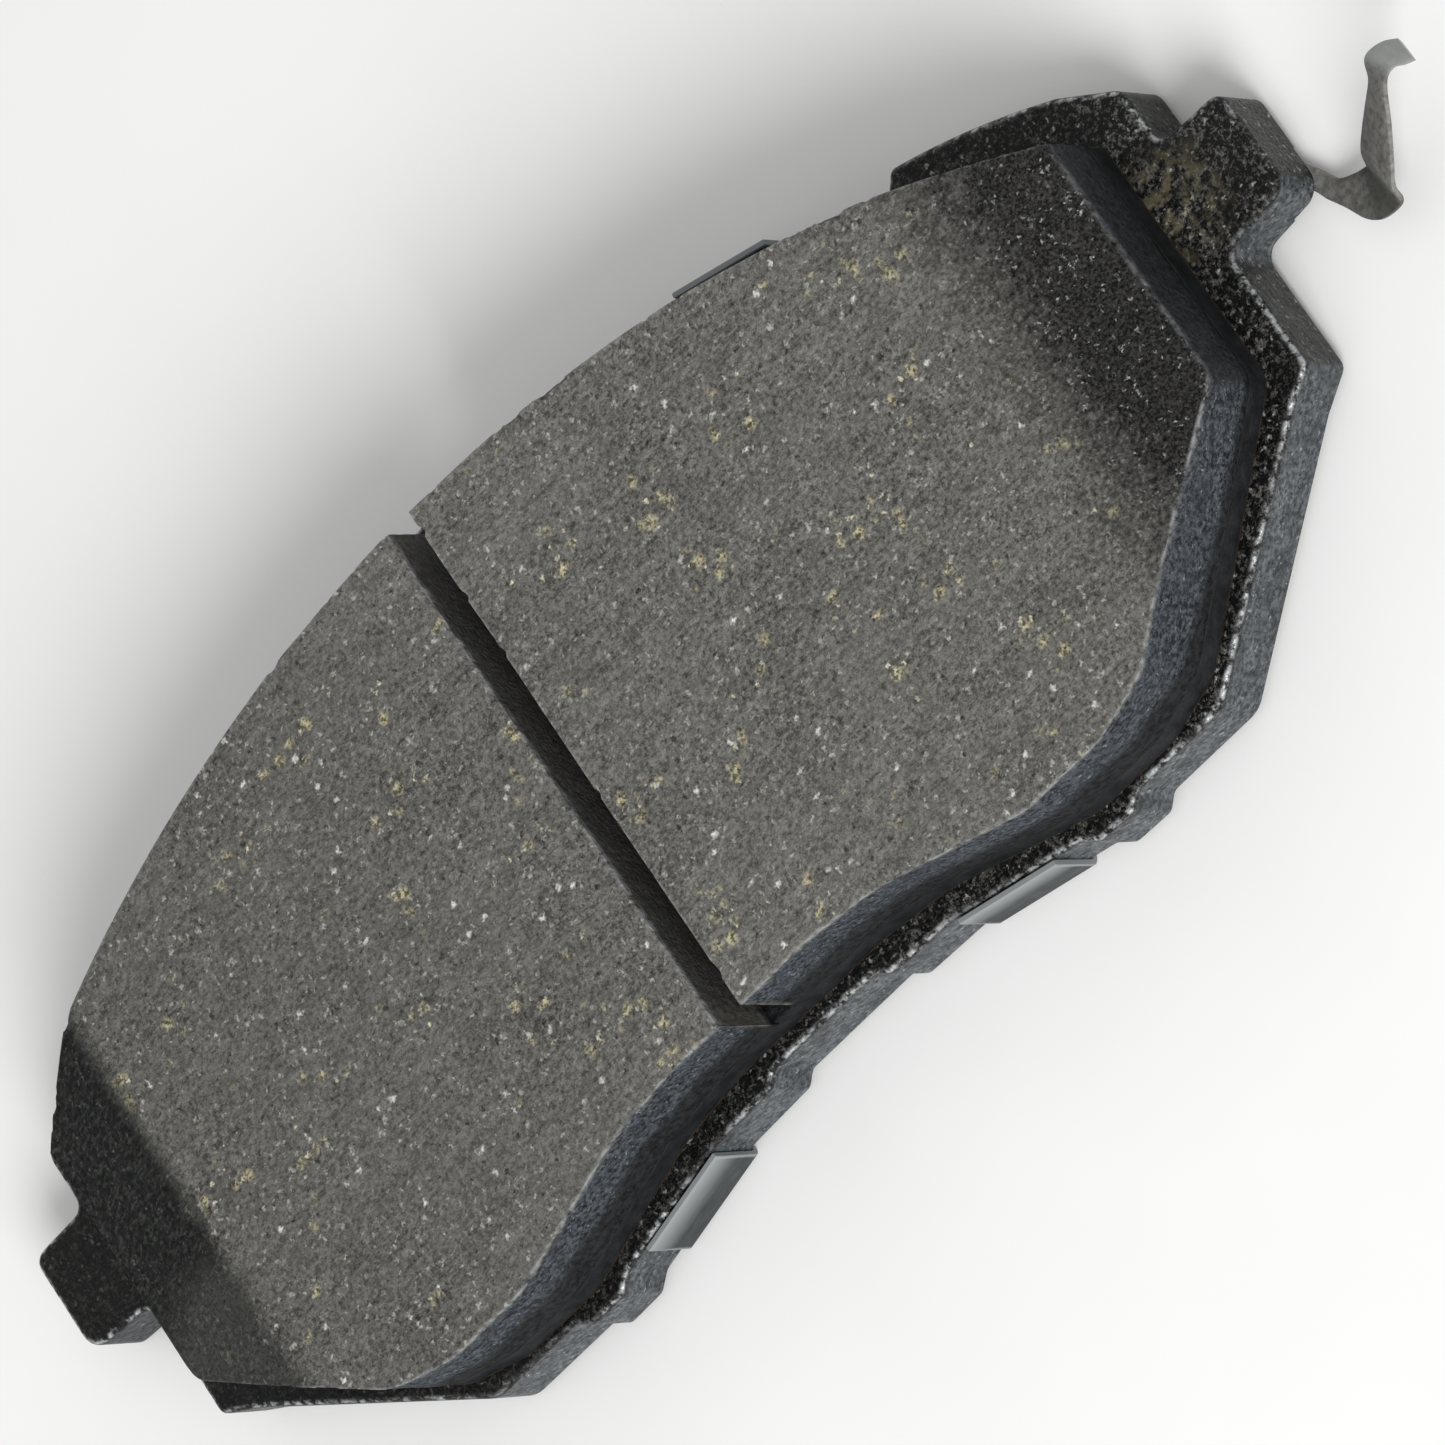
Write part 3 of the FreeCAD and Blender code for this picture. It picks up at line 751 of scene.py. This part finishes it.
def backing_plate():
    """Stamped blank: rolled front edge, burnished then torn wall, thin burr at the back."""
    loop = rounded_loop(PLATE_CORNERS, 0.25)
    spot = np.concatenate([loop, np.zeros((len(loop), 1))], 1)
    wear = 0.05 * layered(spot, 2.5, 41) + 0.06 * np.clip(layered(spot, 1.2, 43) - 0.2, 0, 1)
    roll = EDGE_ROLL + 2.0 * np.clip(wear, 0, None)
    rows = [(-0.25, PLATE_BACK), (-0.06, PLATE_BACK + 0.03), (0.0, PLATE_BACK + 0.15)]
    for k in np.linspace(0, 1, 12)[1:]:
        z = PLATE_BACK + 0.15 + (PLATE_FRONT - roll - PLATE_BACK - 0.15) * k
        at = np.stack([loop[:, 0], loop[:, 1], z * 0.4], 1)
        rows.append((0.05 * layered(at, 1.3, 45) * smooth(1.0, 0.4, k) - 0.02 * k, z))
    for angle in np.linspace(0, math.pi / 2, 9)[1:]:
        out = -0.02 - roll * (1 - math.cos(angle))
        rows.append((out, PLATE_FRONT - roll * (1 - math.sin(angle))))
    vertices, faces = ring_shell(loop, rows)
    z = vertices[:, 2]
    facing = np.tile(outward(loop)[:, 1], len(rows))
    above_burr = smooth(PLATE_BACK - 0.05, PLATE_BACK + 0.1, z)
    on_wall = smooth(PLATE_FRONT - 0.25, PLATE_FRONT - 0.7, z) * above_burr
    down = PLATE_FRONT - z
    marks = {
        # painted light: only the walls facing the inner, lamp-lit side take the pale bare steel colour
        "scuffed_lit_wall": on_wall * smooth(-0.15, -0.5, facing),
        # painted highlight along the rolled front edge, partly real worn paint
        "edge": np.exp(-((down - 0.17) / 0.13) ** 2) * smooth(0.0, 0.04, down),
    }
    plate = new_piece("plate_stamping", vertices, faces, PAINT, marks)
    seat = rounded_loop(SEAT_CORNERS, 0.4)
    through = [(0, 0.0), (0, PLATE_FRONT + 1.0)]
    cutters = [ring_shell(seat, [(0, 0.0), (0, SEAT_DEPTH)])]
    cutters += [ring_shell(disc_loop(x, 0, ANCHOR_RADIUS), through) for x in (-ANCHOR_X, ANCHOR_X)]
    cutters.append(ring_shell(disc_loop(*RIVET, RIVET_BORE), [(0, 0.0), (0, RIVET_TOP)]))
    return cut_away(plate, cutters)


def cut_away(piece, cutters):
    """Removes closed shells from a piece with exact booleans and keeps the result."""
    for vertices, faces in cutters:
        tool = placed("cutter", mesh_of("cutter", vertices, faces))
        step = piece.modifiers.new("cut", "BOOLEAN")
        step.operation, step.solver, step.object = "DIFFERENCE", "EXACT", tool
        graph = bpy.context.evaluated_depsgraph_get()
        cut = bpy.data.meshes.new_from_object(piece.evaluated_get(graph))
        piece.modifiers.clear()
        piece.data = cut
        bpy.data.objects.remove(tool)
    piece.data.shade_smooth()
    piece.data.set_sharp_from_angle(angle=math.radians(35))
    return piece


# ------------------------------------------------------------------- shim shape
SHIM_CORNERS = mirrored([
    (40.5, 18.2, 1.5),
    (44.0, 15.5, 3.0),
    (56.5, 9.5, 3.0),
    (56.5, -10.5, 3.0),
    (39.0, -24.0, 4.0),
    (25.0, -25.2, 2.0),
    (22.2, -25.6, 0.5),
    (13.8, -23.9, 0.5),
    (8.0, -22.6, 1.5),
])
SHIM_BOW = 6.2
SHIM_CORNERS[-1] = SHIM_CORNERS[-1][:3] + (SHIM_BOW,)
TAB_TOP, TAB_BEND, TONGUE = 6.25, 1.0, 4.5
TABS = {   # outer face of each folded tab: first and second end (x, y), for the right side
    "inner": ((13.6, -26.0), (22.7, -27.8)),
    "outer": ((23.4, 25.7), (32.0, 23.55)),
}


def folded_tab(a, b, top):
    """Sheet profile carried from end a to end b: flat tongue, outside bend radius, upright.

    The profile is the sheet's outer line and the same line moved in by its thickness;
    the tongue is a hair thinner than the sheet, so the two never share a face."""
    a, b = np.array(a), np.array(b)
    along = (b - a) / np.linalg.norm(b - a)
    out = np.array([along[1], -along[0]])
    if out @ (a + b) < 0:
        out = -out
    bend, thick, inset = TAB_BEND, SHIM_STEEL, 0.015
    angle = np.linspace(-math.pi / 2, 0, 9)
    outer = np.concatenate([
        [[-TONGUE, inset]],
        np.stack([-bend + bend * np.cos(angle), bend + inset + bend * np.sin(angle)], 1),
        [[0.0, bend + 0.2], [0.0, top * 0.5], [0.0, top - 0.12], [-0.08, top]]])
    r = bend - thick
    inner = np.concatenate([
        [[-TONGUE, thick - inset]],
        np.stack([-bend + r * np.cos(angle), bend - inset + r * np.sin(angle)], 1),
        [[-thick, bend + 0.2], [-thick, top * 0.5], [-thick, top - 0.12], [-thick + 0.08, top]]])
    profile = np.concatenate([outer, inner[::-1]])
    width = np.linalg.norm(b - a)
    stations = np.concatenate([[0, 0.06], np.linspace(0.3, width - 0.3, 12), [width - 0.06, width]])
    shrink = np.where((stations < 0.01) | (stations > width - 0.01), 0.06, 0.0)
    mid = (outer + inner) / 2
    mid = np.concatenate([mid, mid[::-1]])
    rows = []
    for s, k in zip(stations, shrink):
        p = profile + (mid - profile) * (k / (thick / 2))
        xy = a + along * s + p[:, :1] * out
        rows.append(np.concatenate([xy, p[:, 1:]], 1))
    n = len(profile)
    vertices = np.concatenate(rows)
    # the skin is turned right side out, whichever way the profile runs
    turned_in = along[0] * out[1] - along[1] * out[0] < 0
    faces = tube_faces(len(rows), n, flip=turned_in)
    at_end = (stations < 0.1) | (stations > width - 0.1)
    # painted highlight: the ends and the top edge of each tab are marked for a pale colour
    rim = np.repeat(at_end, n).astype(float)
    rim = np.maximum(rim, smooth(top - 0.35, top - 0.1, vertices[:, 2]))
    return vertices, faces, rim


def shim_sheet():
    """Flat steel ply with softened rim, and four tabs folded over the plate's edges."""
    loop = rounded_loop(SHIM_CORNERS, 0.5)
    top = SHIM_STEEL
    sheet = ring_shell(loop, [
        (-SHIM_SOFT, 0.0), (0.0, SHIM_SOFT), (0.0, top - SHIM_SOFT), (-SHIM_SOFT, top)])
    parts, marks = [sheet], [np.zeros(len(sheet[0]))]
    for end_a, end_b in TABS.values():
        for side in (-1, 1):
            a, b = (side * end_a[0], end_a[1]), (side * end_b[0], end_b[1])
            points, faces, rim = folded_tab(a, b, TAB_TOP)
            parts.append((points, faces))
            marks.append(rim)
    vertices, faces = joined(parts)
    return new_piece("shim_sheet", vertices, faces, SHIM, {"edge": np.concatenate(marks)})


# ------------------------------------------------------------ wear strip, rivet
STRIP = np.array([   # left edge, right edge of the strip from the rivet outwards
    ((63.30, 3.70, 0.95), (62.60, 1.20, 0.95)),
    ((66.00, 3.20, 0.95), (64.40, 0.30, 0.95)),
    ((68.20, -0.30, 0.95), (67.10, -1.70, 0.95)),
    ((68.90, -1.50, 0.95), (67.90, -3.30, 0.95)),
    ((69.60, -2.80, 1.20), (68.90, -5.00, 1.40)),
    ((71.10, -3.70, 1.90), (70.00, -7.00, 2.20)),
    ((72.40, -4.20, 2.50), (71.30, -8.10, 2.80)),
    ((72.80, -4.30, 3.00), (73.40, -8.50, 3.60)),
    ((73.60, -3.70, 4.20), (74.10, -7.80, 4.90)),
    ((75.10, -3.10, 5.40), (75.70, -6.90, 6.30)),
    ((76.90, -2.50, 6.70), (77.90, -5.40, 8.00)),
    ((78.80, -1.90, 8.10), (80.10, -3.60, 9.60)),
    ((80.00, -1.00, 9.30), (81.60, -3.50, 10.40)),
    ((81.70, -1.20, 9.60), (82.70, -4.10, 10.90)),
    ((83.00, -2.00, 9.80), (83.60, -4.50, 11.20)),
])


def curve_through(points, count):
    """Catmull-Rom curve through stations: cubic blend of the four nearest."""
    padded = np.concatenate([2 * points[:1] - points[1:2], points, 2 * points[-1:] - points[-2:-1]])
    u = np.linspace(0, len(points) - 1, count)
    i = np.minimum(u.astype(int), len(points) - 2)
    t = (u - i).reshape((-1,) + (1,) * (points.ndim - 1))
    p0, p1, p2, p3 = (padded[i + k] for k in range(4))
    return 0.5 * (2 * p1 + (p2 - p0) * t + (2 * p0 - 5 * p1 + 4 * p2 - p3) * t**2
                  + (3 * p1 - p0 - 3 * p2 + p3) * t**3)


STRIP_SECTION = [   # share of the width, mm in from that edge, height in half thicknesses
    (0, 0.0, -0.6), (0, 0.12, -0.92), (0.32, 0, -1.0), (0.5, 0, -1.0), (0.68, 0, -1.0),
    (1, -0.12, -0.92), (1, 0.0, -0.6), (1, 0.0, 0.6), (1, -0.12, 0.92), (0.68, 0, 1.0),
    (0.5, 0, 1.0), (0.32, 0, 1.0), (0, 0.12, 0.92), (0, 0.0, 0.6)]


def wear_strip():
    """Ribbon between two edge curves: a rounded rectangle section square to its run.

    Its first stretch lies flat under the ear, so the section is upright there."""
    count = 150
    edges = curve_through(STRIP, count)
    a, b = edges[:, 0], edges[:, 1]
    across = b - a
    run = np.gradient((a + b) / 2, axis=0)
    normal = np.cross(across, run)
    normal /= np.linalg.norm(normal, axis=1)[:, None]
    normal *= np.sign(normal[:, 2:] + 1e-9)
    bent = smooth(20, 40, np.arange(count))[:, None]   # the rings where it leaves the ear
    normal = normal * bent + np.array([0, 0, 1.0]) * (1 - bent)
    normal /= np.linalg.norm(normal, axis=1)[:, None]
    side = across / np.linalg.norm(across, axis=1)[:, None]
    rings = [a + across * share + side * inset + normal * STRIP_THICK / 2 * height
             for share, inset, height in STRIP_SECTION]
    vertices = np.stack(rings, 1).reshape(-1, 3)
    run = np.repeat(np.linspace(0, 1, count), len(STRIP_SECTION))
    # painted light at the strip's tip and painted shade at its elbow
    marks = {"painted_light_tip": smooth(0.80, 0.90, run), "painted_shade_elbow": np.exp(-((run - 0.46) / 0.08) ** 2)}
    faces = tube_faces(count, len(STRIP_SECTION), flip=True)
    return new_piece("wear_strip", vertices, faces, SPRING, marks, sharp=50)


def turned(profile, centre, count):
    """Profile of (radius, height) spun about a vertical line, with a disc over each end."""
    turn = np.linspace(0, 2 * math.pi, count + 1)[:-1]
    r, z = np.array(profile).T
    x = centre[0] + r[:, None] * np.cos(turn)
    y = centre[1] + r[:, None] * np.sin(turn)
    vertices = np.stack([x, y, np.broadcast_to(z[:, None], x.shape)], -1).reshape(-1, 3)
    return vertices, tube_faces(len(profile), count)


def rivet():
    """Low round head under the strip and the shank pressed into the ear."""
    profile = [(0.5, 0.0), (1.6, 0.02), (1.95, 0.12), (2.1, 0.35), (2.1, 0.70), (RIVET_BORE, 0.70),
               (RIVET_BORE, RIVET_TOP - 0.2), (RIVET_BORE - 0.15, RIVET_TOP)]
    vertices, faces = turned(profile, RIVET, 64)
    none = np.zeros(len(vertices))
    marks = {"painted_light_tip": none, "painted_shade_elbow": none}
    return new_piece("strip_rivet", vertices, faces, SPRING, marks)


PIECES = {
    "friction_lining": friction_lining(),
    "lining_underlayer": underlayer(),
    "backing_plate": backing_plate(),
    "shim_core": shim_sheet(),
    "wear_indicator": wear_strip(),
    "wear_indicator_rivet": rivet(),
}
for node, piece in PIECES.items():
    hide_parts(node)

for node, material in (("shim_rubber", RUBBER), ("shim_adhesive", FILM), ("lining_adhesive", FILM)):
    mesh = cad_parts[node].data
    mesh.materials.clear()
    mesh.materials.append(material)


# ------------------------------------------------------- floor, light and camera
def floor_board():
    """Pale sheet under the pad: flat where the pad lies, rising in a parabola far out."""
    count, reach, flat, rise = 41, 1600.0, 800.0, 0.00025
    span = np.linspace(-reach, reach, count)
    x, y = np.meshgrid(span, span, indexing="ij")
    z = rise * np.clip(np.hypot(x, y) - flat, 0, None) ** 2
    vertices = np.stack([x, y, z], -1).reshape(-1, 3)
    mesh = mesh_of("floor", vertices, [grid_faces(count, count, flip=True)])
    mesh.shade_smooth()
    mesh.materials.append(studio_floor())
    placed("floor", mesh)


def soft_light(name, place, aim, size, watts):
    """A round white studio lamp aimed at a point."""
    lamp = bpy.data.lights.new(name, "AREA")
    lamp.shape, lamp.size, lamp.energy = "DISK", size, watts
    holder = placed(name, lamp)
    holder.location = place
    holder.rotation_euler = (Vector(aim) - Vector(place)).to_track_quat("-Z", "Y").to_euler()


def studio():
    """Even white surround with one broad lamp low on the inner-edge side; plain display colours."""
    world = bpy.data.worlds.new("studio")
    world.use_nodes = True
    surround = world.node_tree.nodes["Background"].inputs
    surround["Color"].default_value = (1, 1, 1, 1)
    surround["Strength"].default_value = 0.55
    bpy.context.scene.world = world
    bpy.context.scene.view_settings.view_transform = "Standard"
    soft_light("key", place=(0.15, -0.9, 0.7), aim=(0, 0, 0), size=0.7, watts=10.7)


def long_lens_camera():
    """Its three axes, and the point it looks at, in the pad's own frame."""
    right = Vector((0.64650, -0.52685, -0.55178))
    up = Vector((0.63290, 0.77423, 0.00229))
    back = Vector((0.42600, -0.35070, 0.83398))
    target, distance = Vector((0.00695, -0.00167, 0.0063)), 0.801
    camera = bpy.data.cameras.new("camera")
    camera.lens, camera.sensor_width = 272.2, 36
    camera.clip_start, camera.clip_end = 0.05, 20
    holder = placed("camera", camera)
    turn = Matrix((right, up, back)).transposed().to_4x4()
    holder.matrix_world = Matrix.Translation(target + back * distance) @ turn
    bpy.context.scene.camera = holder


floor_board()
studio()
long_lens_camera()
